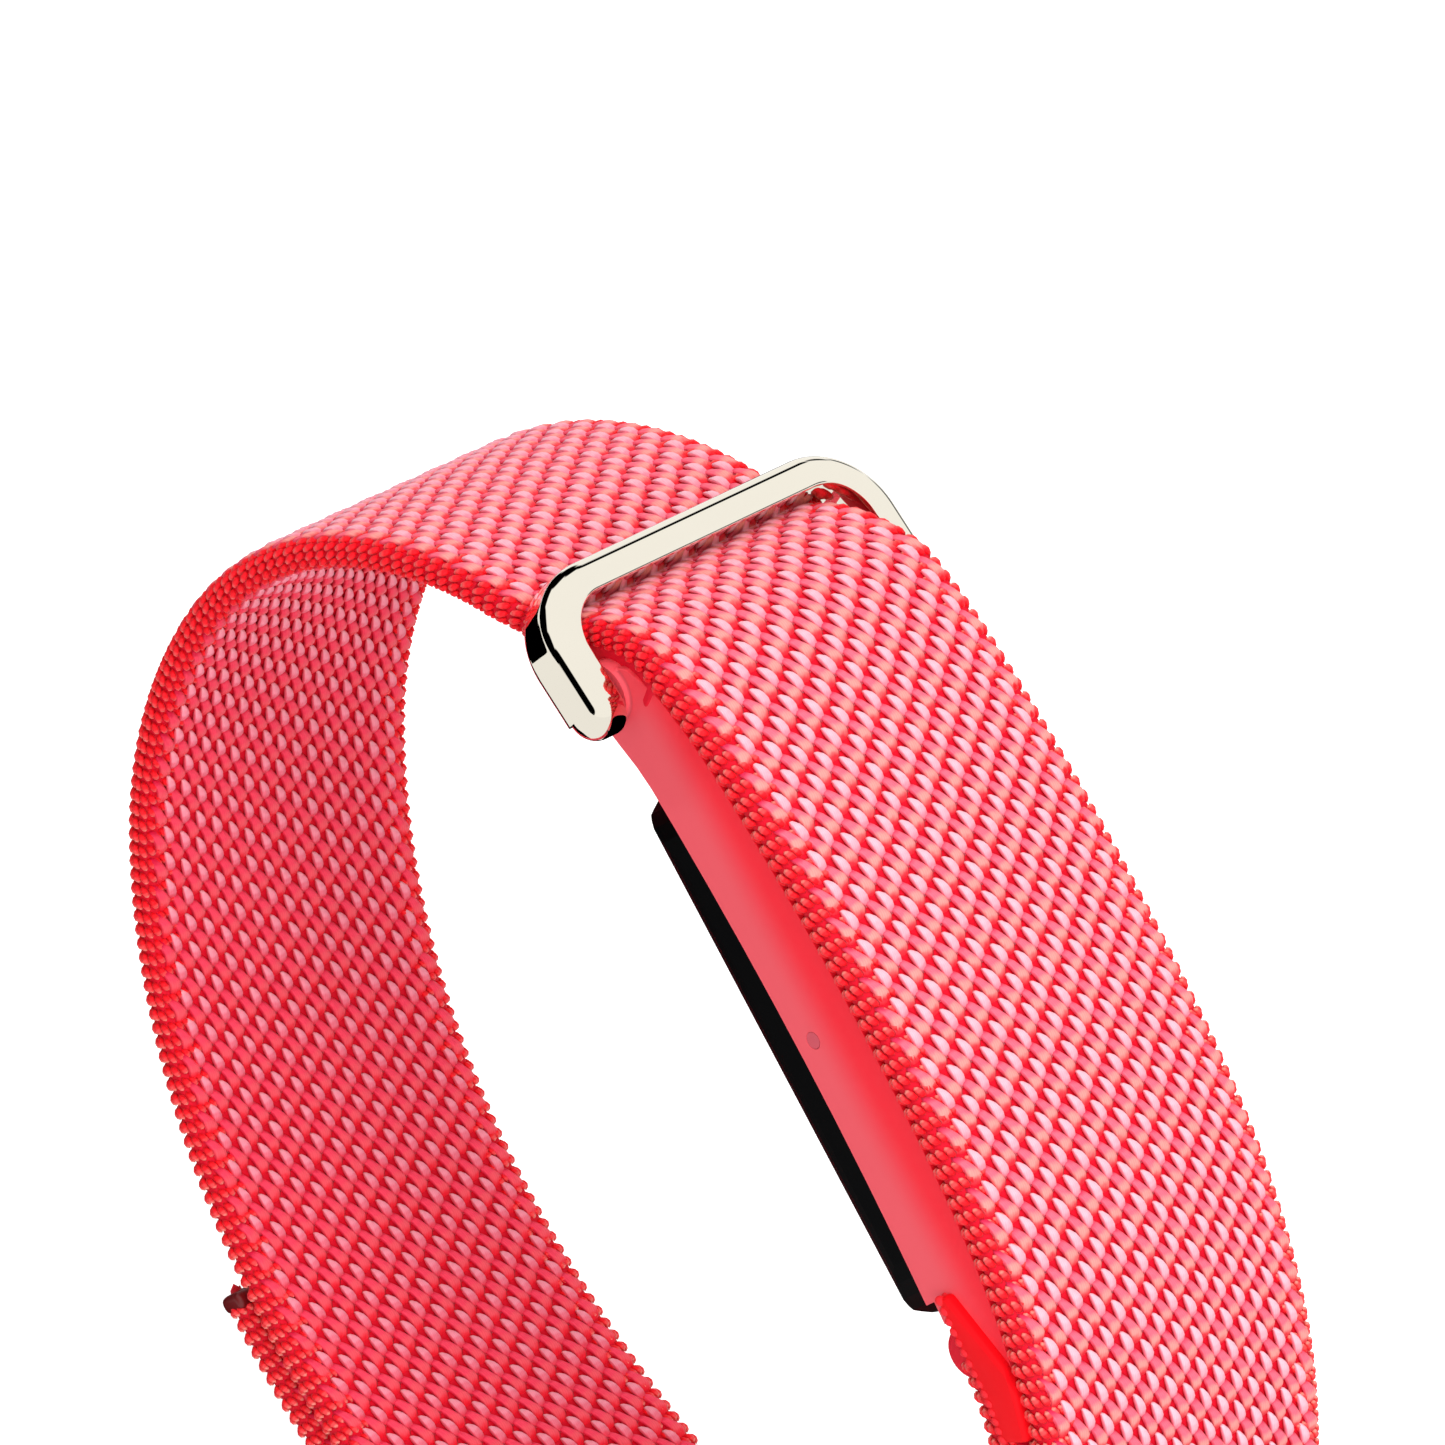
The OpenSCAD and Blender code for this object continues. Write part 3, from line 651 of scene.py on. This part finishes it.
def makeRing(material):
    # a rounded section drawn from one leg round both corners to the other, with a round end on each leg
    bm = bmesh.new()
    thick, depth, half = ring["thick"], ring["depth"], ring["width"]/2
    middle = ring["front"] - depth/2
    cornerAt = ring["barAt"] + ring["corner"]
    endAt = ring["barAt"] + ring["length"] - depth/2
    bmesh.ops.create_grid(bm, x_segments=1, y_segments=2, size=0.5)
    bmesh.ops.scale(bm, verts=bm.verts, vec=(thick, depth, 1))
    turnBy(bm, bm.verts, math.pi/2, "X")
    turnBy(bm, bm.verts, math.pi/2, "Z")
    bmesh.ops.translate(bm, verts=bm.verts, vec=(endAt, -half + thick/2, middle))
    for name, size in ring["rounds"].items():
        at = thick - half if name.startswith("inner") else -half
        side = 1 if name.lower().endswith("front") else -1
        place = Vector((endAt, at, middle + side*depth/2))
        corners = [v for v in bm.verts if (v.co - place).length < joinWithin]
        roundOff(bm, corners, size, max(4, round(12*size)), affect="VERTICES")
    bmesh.ops.delete(bm, geom=[e for e in bm.edges if len(e.link_faces) > 1], context="EDGES")
    loop = list(bm.edges)

    def pull(edges, along, across=0):
        result = bmesh.ops.extrude_edge_only(bm, edges=edges)
        bmesh.ops.translate(bm, verts=itemsOf(result, bmesh.types.BMVert), vec=(along, across, 0))
        return itemsOf(result, bmesh.types.BMEdge)

    def swing(edges, centre, axis, angle, steps):
        result = bmesh.ops.spin(
            bm, geom=edges, cent=centre, axis=axis, dvec=(0, 0, 0), angle=angle, steps=steps,
            use_merge=False, use_duplicate=False,
        )
        return itemsOf(result, bmesh.types.BMEdge)

    def upper(edges):
        return [e for e in edges if all(v.co.z > middle - joinWithin for v in e.verts)]

    steps, corner = ring["cornerSteps"], ring["corner"]
    swing(upper(loop), (endAt, 0, middle), (0, 1, 0), math.pi, steps)
    loop = pull(loop, cornerAt - endAt)
    loop = swing(loop, (cornerAt, corner - half, 0), (0, 0, 1), -math.pi/2, steps)
    loop = pull(loop, 0, 2*(half - corner))
    loop = swing(loop, (cornerAt, half - corner, 0), (0, 0, 1), -math.pi/2, steps)
    loop = pull(loop, endAt - cornerAt)
    swing(upper(loop), (endAt, 0, middle), (0, 1, 0), math.pi, steps)
    bmesh.ops.remove_doubles(bm, verts=bm.verts, dist=joinWithin)
    bmesh.ops.recalc_face_normals(bm, faces=bm.faces)
    piece = addPiece("ring_polished", bm, [material])
    piece.data.transform(inRing())
    weighted = piece.modifiers.new("flatFacesFirst", "WEIGHTED_NORMAL")
    weighted.weight = 60
    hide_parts("ring")
    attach(piece, "ring")
    return piece


eye = {"at": (24.23, 34.1), "radius": 1.28, "from": 2.5, "to": 8.85, "round": 0.3}


def makeEye():
    # the strap's other end, closed round the cradle's bar in two halves beside the lug
    bm = bmesh.new()
    for side in (-1, 1):
        part = bmesh.ops.create_cone(
            bm, cap_ends=True, segments=40, radius1=eye["radius"], radius2=eye["radius"],
            depth=eye["to"] - eye["from"],
        )["verts"]
        turnBy(bm, part, math.pi/2, "X")
        middle = side*(eye["from"] + eye["to"])/2
        bmesh.ops.translate(bm, verts=part, vec=(eye["at"][0], middle, eye["at"][1]))
    rims = [e for e in bm.edges if len(e.link_faces) == 2 and e.calc_face_angle() > 1]
    roundOff(bm, rims, eye["round"], 4)
    piece = addPiece("strap_eye", bm, [ground])
    piece.data.transform(Matrix.Scale(mm, 4))
    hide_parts("woven_strap")
    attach(piece, "band")
    return piece


hem = {
    "low": [(22.74, 36.58), (24.23, 34.56), (25.77, 32.58), (26.78, 30.67)],
    "high": [(23.28, 36.97), (25.11, 35.74), (27.24, 34.33), (28.32, 31.35)],
    "from": 8.4, "to": 9.33, "round": 0.22, "beads": 15, "beadSize": (0.3, 0.24, 0.24),
    "beadRows": (8.75, 9.2), "beadProud": 0.1, "cuts": 11,
}


def makeHem(material, beadMaterial):
    # the folded end of the strap where it comes out beside the cradle, knobbly along its outer side
    bm = bmesh.new()
    low, high = np.array(hem["low"]), np.array(hem["high"])
    stops = np.linspace(0, 1, len(low))
    bmesh.ops.create_cube(bm, size=1)
    long = [e for e in bm.edges if abs(e.verts[0].co.x - e.verts[1].co.x) > 0.5]
    bmesh.ops.subdivide_edges(bm, edges=long, cuts=hem["cuts"])
    for v in bm.verts:
        share = v.co.x + 0.5
        under, over = (np.array([np.interp(share, stops, row[:, k]) for k in (0, 1)]) for row in (low, high))
        x, z = under + (v.co.z + 0.5)*(over - under)
        v.co = (x, hem["from"] + (v.co.y + 0.5)*(hem["to"] - hem["from"]), z)
    sharp = [e for e in bm.edges if e.calc_face_angle() > 0.8]
    roundOff(bm, sharp, hem["round"], 3)
    for share in np.linspace(0.02, 0.98, hem["beads"]):
        x, z = (np.interp(share, stops, low[:, k]) for k in (0, 1))
        for across in hem["beadRows"]:
            bead = bmesh.ops.create_icosphere(bm, subdivisions=2, radius=1)["verts"]
            bmesh.ops.scale(bm, verts=bead, vec=hem["beadSize"])
            bmesh.ops.translate(bm, verts=bead, vec=(x + hem["beadProud"], across, z + hem["beadProud"]))
            for face in facesOf(bead):
                face.material_index = 1
    other = bmesh.ops.duplicate(bm, geom=list(bm.verts) + list(bm.edges) + list(bm.faces))
    bmesh.ops.scale(bm, verts=itemsOf(other, bmesh.types.BMVert), vec=(1, -1, 1))
    bmesh.ops.recalc_face_normals(bm, faces=bm.faces)
    piece = addPiece("strap_hem", bm, [material, beadMaterial])
    piece.data.transform(Matrix.Scale(mm, 4))
    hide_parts("woven_strap")
    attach(piece, "band")
    return piece


makeEye()
hemPiece = makeHem(
    grained("hemSide", (240, 4, 20), 0.6, scale=3000, mottle=0.15, bump=0.2, Specular_IOR_Level=0.2),
    grained("hemBead", (246, 40, 52), 0.55, scale=3000, mottle=0.3, bump=0.3, Specular_IOR_Level=0.25),
)

polished = grained(
    "polishedRing", (243, 237, 222), 0.01, scale=4000, mottle=0.03, bump=0.004, wear=0.04, Metallic=1.0,
)
ringPiece = makeRing(polished)
print("stage: ring drawn,", len(ringPiece.data.polygons), "faces")

cradle = {
    "at": (15.44, 0, 50.3), "pitch": 50, "bevel": 0.14, "segments": 3, "sharp": 35,
    # the pale colour at the pebble's side and the range it fades over are a painted sheen
    "strapSide": (246, 26, 48), "pebbleSideSheen": (236, 84, 96), "sheenFrom": -0.6, "sheenTo": -3.2,
}


def cradleMaterial():
    # moulded coral with a painted sheen that pales it from the strap's side to the pebble's
    material, tree, shader, raised = newMaterial("coralMouldingSheen", 0.06, 0.02*mm, Specular_IOR_Level=0.35)
    place, turned, split = (
        tree.nodes.new("ShaderNode" + kind) for kind in ("TexCoord", "Mapping", "SeparateXYZ")
    )
    turned.vector_type = "TEXTURE"
    setInputs(turned, Location=Vector(cradle["at"])*mm, Rotation=(0, math.radians(cradle["pitch"]), 0))
    tree.links.new(place.outputs["Object"], turned.inputs["Vector"])
    tree.links.new(turned.outputs["Vector"], split.inputs[0])
    # painted sheen: the coral pales towards the pebble's side
    paintedSheen = rangeNode(tree, split.outputs["Z"], cradle["sheenFrom"]*mm, cradle["sheenTo"]*mm)
    colour = mixNode(tree, paintedSheen, rgb(*cradle["strapSide"]), rgb(*cradle["pebbleSideSheen"]))
    surface = placeGroup(tree, grain, Scale=2600, Mottle=0.04, Roughness=0.5)
    tree.links.new(colour, surface.inputs["Colour"])
    tree.links.new(surface.outputs["Colour"], shader.inputs["Base Color"])
    tree.links.new(surface.outputs["Roughness"], shader.inputs["Roughness"])
    tree.links.new(surface.outputs["Height"], raised.inputs["Height"])
    return material


def softCopy(name, node, body, settings, material):
    # a copy of a CAD piece with its sharp edges rounded off as a mould leaves them
    bm = bmesh.new()
    bm.from_mesh(nodes[node].data)
    bmesh.ops.remove_doubles(bm, verts=bm.verts, dist=1e-6)
    bmesh.ops.dissolve_limit(bm, angle_limit=math.radians(1), verts=bm.verts, edges=bm.edges)
    shared = [e for e in bm.edges if len(e.link_faces) == 2]
    sharp = [e for e in shared if e.calc_face_angle_signed() > math.radians(settings["sharp"])]
    roundOff(bm, sharp, settings["bevel"]*mm, settings["segments"], clamp=True)
    piece = addPiece(name, bm, [material])
    weighted = piece.modifiers.new("flatFacesFirst", "WEIGHTED_NORMAL")
    weighted.weight = 100
    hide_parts(node)
    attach(piece, body)
    return piece


softCopy("cradle_moulding", "cradle", "band", cradle, cradleMaterial())


def flatBlock(low, high, halfWidth, under, over, roundBy, cutsAlong=0, cutsAcross=0):
    # a rounded block in the strap's flat measure
    bm = bmesh.new()
    bmesh.ops.create_cube(bm, size=1)
    bmesh.ops.scale(bm, verts=bm.verts, vec=(high - low, 2*halfWidth, over - under))
    roundOff(bm, list(bm.edges), roundBy, 4)
    for axis, cuts, size in ((0, cutsAlong, high - low), (1, cutsAcross, 2*halfWidth)):
        long = [e for e in bm.edges if abs(e.verts[0].co[axis] - e.verts[1].co[axis]) > 0.3*size]
        if cuts:
            bmesh.ops.subdivide_edges(bm, edges=long, cuts=cuts)
    bmesh.ops.translate(bm, verts=bm.verts, vec=((low + high)/2, 0, (under + over)/2))
    return bm


tip = {"length": 0.9, "past": 0.2, "halfWidth": 9.12, "halfThick": 0.82, "round": 0.35}


def makeTip(material):
    low = strapEnd - tip["length"] + tip["past"]
    half = tip["halfThick"]
    bm = flatBlock(low, strapEnd + tip["past"], tip["halfWidth"], -half, half, tip["round"], cutsAcross=30)
    piece = addPiece("strap_tip_seal", bm, [material])
    wrapStrap(piece.data)
    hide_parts("strap_tip")
    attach(piece, "free_end")
    return piece


pad = {"from": 6.2, "to": 12.5, "halfWidth": 8.85, "under": -2.0, "over": -0.3, "round": 0.4}


def makePad():
    # the strap's doubled edge over the cradle's end, beside the ring
    bm = flatBlock(
        pad["from"], pad["to"], pad["halfWidth"], pad["under"], pad["over"], pad["round"], cutsAlong=12,
    )
    piece = addPiece("strap_fold_edge", bm, [ground])
    wrapStrap(piece.data)
    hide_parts("woven_strap")
    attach(piece, "band")
    return piece


makePad()
tipPiece = makeTip(
    grained("sealedTip", (104, 12, 16), 0.3, scale=2600, mottle=0.25, bump=0.15, Specular_IOR_Level=0.5)
)

hooks = {
    "from": 118.2, "to": 129.8, "halfWidth": 7, "backing": 0.14, "height": 0.17,
    "alongGap": 0.62, "acrossGap": 0.56, "stem": 0.1, "head": 0.15,
}


def makeHooks(material):
    # woven backing with rows of small mushroom hooks that face the layer under the free end
    outer = -strap["thick"]/2
    low = outer - hooks["backing"]
    bm = flatBlock(hooks["from"], hooks["to"], hooks["halfWidth"], low, outer + 0.03, 0.05, 10, 6)
    countAlong = int((hooks["to"] - hooks["from"])/hooks["alongGap"])
    countAcross = int(2*hooks["halfWidth"]/hooks["acrossGap"])
    for row in range(countAlong):
        for column in range(countAcross):
            shift = 0.5*hooks["acrossGap"]*(row % 2)
            at = (
                hooks["from"] + (row + 0.6)*hooks["alongGap"],
                (column + 0.3)*hooks["acrossGap"] + shift - hooks["halfWidth"], low - hooks["height"]/2,
            )
            stem = bmesh.ops.create_cone(
                bm, cap_ends=True, segments=5, radius1=hooks["head"], radius2=hooks["stem"],
                depth=hooks["height"],
            )["verts"]
            bmesh.ops.translate(bm, verts=stem, vec=at)
    piece = addPiece("hook_field", bm, [material], smooth=False)
    wrapStrap(piece.data)
    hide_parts("hook_tape")
    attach(piece, "free_end")
    return piece


makeHooks(grained("hookNylon", (176, 22, 44), 0.5, scale=3200, mottle=0.2, bump=0.3))
print("stage: cradle, tip and hooks made")

finishes = {
    "glossBlack": grained(
        "glossBlack", (2, 2, 3), 0.4, scale=1500, mottle=0.05, bump=0.01, Specular_IOR_Level=0.03,
    ),
    "plainSteel": grained(
        "plainSteel", (176, 180, 186), 0.28, scale=2500, mottle=0.15, bump=0.05, Metallic=1.0,
    ),
    "stitchThread": grained("stitchThread", (250, 110, 122), 0.6, scale=4000, mottle=0.2, bump=0.4),
    "sealRubber": grained("sealRubber", (24, 24, 26), 0.7, scale=1800, mottle=0.1, bump=0.1),
    "smokedWindow": grained(
        "smokedWindow", (5, 5, 7), 0.12, scale=900, mottle=0.05, bump=0.0, Specular_IOR_Level=0.1,
    ),
    "redWindow": grained("redWindow", (205, 72, 88), 0.4, scale=2000, mottle=0.1, bump=0.02),
    "goldPlate": grained("goldPlate", (226, 184, 92), 0.2, scale=3000, mottle=0.1, bump=0.03, Metallic=1.0),
    "matteBlack": grained("matteBlack", (18, 18, 20), 0.6, scale=2000, mottle=0.1, bump=0.1),
    "boardGreen": grained("boardGreen", (26, 92, 52), 0.35, scale=1400, mottle=0.35, bump=0.2),
    "chipBlack": grained("chipBlack", (34, 35, 38), 0.55, scale=3500, mottle=0.12, bump=0.15),
    "flexAmber": grained("flexAmber", (196, 118, 40), 0.32, scale=1200, mottle=0.3, bump=0.06),
    "canMetal": grained("canMetal", (196, 199, 204), 0.3, scale=2600, mottle=0.12, bump=0.05, Metallic=1.0),
    "cellFoil": grained("cellFoil", (170, 176, 184), 0.35, scale=1000, mottle=0.2, bump=0.25, Metallic=1.0),
    "copperWinding": grained(
        "copperWinding", (184, 110, 58), 0.3, scale=3500, mottle=0.25, bump=0.3, Metallic=1.0,
    ),
    "clearLens": grained(
        "clearLens", (214, 222, 226), 0.1, scale=900, mottle=0.03, bump=0.0, Transmission_Weight=0.6,
    ),
    "ledBody": grained("ledBody", (240, 236, 200), 0.3, scale=2400, mottle=0.1, bump=0.03),
    "greyFoam": grained("greyFoam", (84, 87, 92), 0.85, scale=2200, mottle=0.3, bump=0.6),
    "connectorNylon": grained("connectorNylon", (230, 224, 208), 0.45, scale=2200, mottle=0.1, bump=0.05),
}
nodeFinishes = {
    "glossBlack": ["pebble_base", "pebble_lid"],
    "plainSteel": [
        "strap_end_bar", "ring_bar_tube", "ring_bar_spring", "ring_bar_tip_near", "ring_bar_tip_far",
        "skin_temperature_pad", "charger_magnets", "motor_spring", "motor_mass",
    ],
    "stitchThread": ["tail_stitches"],
    "sealRubber": ["shell_seal"], "smokedWindow": ["sensor_window"], "redWindow": ["status_window"],
    "goldPlate": ["charge_contacts"], "matteBlack": ["optical_barrier"], "boardGreen": ["main_board"],
    "chipBlack": ["processor_chip", "memory_chip", "motion_sensor", "radio_chip", "photodiodes"],
    "flexAmber": ["sensor_flex", "antenna_strip", "battery_lead"],
    "canMetal": ["radio_shield", "motor_case"], "cellFoil": ["battery_cell"],
    "copperWinding": ["motor_coil"], "clearLens": ["light_pipe"],
    "ledBody": ["green_leds", "red_infrared_led", "status_led"], "greyFoam": ["battery_foam"],
    "connectorNylon": ["battery_connector"],
}
for finish, members in nodeFinishes.items():
    for node in members:
        for holder in nodes[node].material_slots:
            holder.material = finishes[finish]
print("stage: finishes on", sum(len(members) for members in nodeFinishes.values()), "CAD nodes")

lights = {
    "key": {"from": (230, -60, 420), "size": 300, "power": 1.22},
    "fill": {"from": (330, -300, 130), "size": 360, "power": 0.95},
    "back": {"from": (-160, 330, 260), "size": 300, "power": 0.6},
}
studio = {
    "ambient": 0.5, "floorGlow": 0.62, "floorSeen": 0.93,
    # the dark of the studio that polished metal sees: azimuth, elevation and radius in degrees
    "darkZones": [
        (98, 4, 8), (110, 16, 6), (114, 30, 6), (118, 43, 6.5), (134, 45, 9), (154, 34, 16), (178, 10, 27),
        (212, 12, 24), (243, 13, 19), (271, 12.5, 18), (41, 4, 15),
    ],
    "darkEdge": 1.5,
    # dark cards that only reflections meet: middle, radius, and the way they face
    "cards": [
        ((-80, 6, 1), 62, (0, 0, 1)), ((-440, 40, 1), 320, (0, 0, 1)), ((4.7, -9.4, 57.2), 2.4, (0, -1, 0)),
    ],
}


def makeLights():
    aim = Vector(cameraSet["target"])
    for name, lamp in lights.items():
        data = bpy.data.lights.new(name, "AREA")
        data.shape, data.size = "DISK", lamp["size"]*mm
        data.energy = lamp["power"]
        light = bpy.data.objects.new(name, data)
        bpy.context.scene.collection.objects.link(light)
        place = Vector(lamp["from"])
        light.location = place*mm
        light.rotation_euler = (place - aim).to_track_quat("Z", "Y").to_euler()
        light.visible_glossy = False
        light.visible_camera = False


def mixShader(tree, share, first, second):
    node = tree.nodes.new("ShaderNodeMixShader")
    for given, value in zip(node.inputs, (share, first, second)):
        tree.links.new(value, given)
    return node.outputs[0]


def whiteToViewer(tree, lit, clear):
    # picks the clear white shader for what the camera, a reflection or a lens sees
    rays = tree.nodes.new("ShaderNodeLightPath").outputs
    either = mathNode(tree, "MAXIMUM", rays["Is Camera Ray"], rays["Is Glossy Ray"])
    return mixShader(tree, mathNode(tree, "MAXIMUM", either, rays["Is Transmission Ray"]), lit, clear)


def makeWorld():
    # even white, with a few dark zones that only polished surfaces pick up
    world = bpy.data.worlds.new("studio")
    bpy.context.scene.world = world
    world.use_nodes = True
    tree = world.node_tree
    lit, clear = tree.nodes["Background"], tree.nodes.new("ShaderNodeBackground")
    setInputs(lit, Color=(1, 1, 1, 1), Strength=studio["ambient"])
    setInputs(clear, Color=(1, 1, 1, 1))
    sky = tree.nodes.new("ShaderNodeTexCoord").outputs["Generated"]
    light = None
    for azimuth, elevation, radius in studio["darkZones"]:
        turn, lift = math.radians(azimuth), math.radians(elevation)
        near = tree.nodes.new("ShaderNodeVectorMath")
        near.operation = "DOT_PRODUCT"
        near.inputs[1].default_value = (
            math.cos(lift)*math.cos(turn), math.cos(lift)*math.sin(turn), math.sin(lift),
        )
        tree.links.new(sky, near.inputs[0])
        inner, outer = (math.cos(math.radians(radius + side*studio["darkEdge"])) for side in (-1, 1))
        past = rangeNode(tree, near.outputs["Value"], inner, outer, smooth=False)
        light = mathNode(tree, "MINIMUM", light, past) if light else past
    # the camera still sees plain white there
    rays = tree.nodes.new("ShaderNodeLightPath").outputs
    tree.links.new(mathNode(tree, "MAXIMUM", light, rays["Is Camera Ray"]), clear.inputs["Strength"])
    mix = whiteToViewer(tree, lit.outputs[0], clear.outputs[0])
    tree.links.new(mix, tree.nodes["World Output"].inputs["Surface"])


def makeCards():
    material = bpy.data.materials.new("darkCard")
    material.use_nodes = True
    setInputs(material.node_tree.nodes["Principled BSDF"], Base_Color=(0, 0, 0, 1), Specular_IOR_Level=0)
    for number, (at, radius, facing) in enumerate(studio["cards"]):
        bm = bmesh.new()
        bmesh.ops.create_circle(bm, cap_ends=True, segments=32, radius=radius*mm)
        card = addPiece("dark_card_" + str(number), bm, [material], smooth=False)
        turn = Vector(facing).to_track_quat("Z", "Y").to_matrix().to_4x4()
        card.data.transform(Matrix.Translation(Vector(at)*mm) @ turn)
        card.visible_camera = card.visible_diffuse = False
        card.visible_shadow = card.visible_transmission = False


def makeFloor():
    bm = bmesh.new()
    bmesh.ops.create_grid(bm, x_segments=1, y_segments=1, size=1.5)
    material = bpy.data.materials.new("paleFloor")
    material.use_nodes = True
    tree = material.node_tree
    plain = tree.nodes["Principled BSDF"]
    setInputs(plain, Base_Color=(0.8, 0.8, 0.8, 1), Roughness=0.8)
    glow, even, both = (tree.nodes.new("ShaderNode" + kind) for kind in ("Emission", "Emission", "AddShader"))
    setInputs(glow, Strength=studio["floorGlow"])
    setInputs(even, Strength=studio["floorSeen"])
    tree.links.new(plain.outputs[0], both.inputs[0])
    tree.links.new(glow.outputs[0], both.inputs[1])
    # a reflection meets it as an even near-white
    rays = tree.nodes.new("ShaderNodeLightPath").outputs
    mirror = mixShader(tree, rays["Is Glossy Ray"], both.outputs[0], even.outputs[0])
    mix = whiteToViewer(tree, plain.outputs[0], mirror)
    tree.links.new(mix, tree.nodes["Material Output"].inputs["Surface"])
    floor = addPiece("floor", bm, [material], smooth=False)


makeLights()
makeWorld()
makeCards()
makeFloor()
bpy.context.scene.view_settings.view_transform = "Standard"
print("stage: lights and floor set")


def shown(*pieces, side=0):
    # pixels of the finished vertices inside the frame, of one side across if asked
    places = np.concatenate([points(piece.data) for piece in pieces])
    places = places[places[:, 1]*side >= 0]
    pixels = seenAt(places)
    return pixels[((pixels > 0) & (pixels < cameraSet["frame"])).all(axis=1)]


def measurePoints():
    # where each thing shows in pixels of the photograph, one place for each image point
    band, ringSeen = shown(*strapPieces), shown(ringPiece)
    pebble = shown(nodes["pebble_base"], nodes["pebble_lid"])
    nearRing, tail = shown(ringPiece, side=-1), shown(tipPiece, side=-1)
    dot, hemSeen = shown(nodes["status_window"]), shown(hemPiece, side=-1)
    floats = [
        seenAt(ontoStrap(np.array([phase[face]]), np.zeros(1), np.array([face*0.8])))[0] for face in (1, -1)
    ]
    found = {
        "objectLeft": band[:, 0].min(), "objectRight": band[:, 0].max(), "objectTop": band[:, 1].min(),
        "ringLeft": nearRing[nearRing[:, 0].argmin()], "ringLegEnd": nearRing[nearRing[:, 1].argmax()],
        "ringFarTop": ringSeen[ringSeen[:, 1].argmin()],
        "outerFloat": floats[0], "innerFloat": floats[1],
        "statusDot": (dot.min(axis=0) + dot.max(axis=0))/2,
        "pebbleNearEnd": pebble[pebble[:, 0].argmin()], "pebbleFarEnd": pebble[pebble[:, 1].argmax()],
        "tailTip": tail[tail[:, 0].argmin()], "hemTop": hemSeen[hemSeen[:, 1].argmin()],
    }


measurePoints()
print("stage: image points measured")
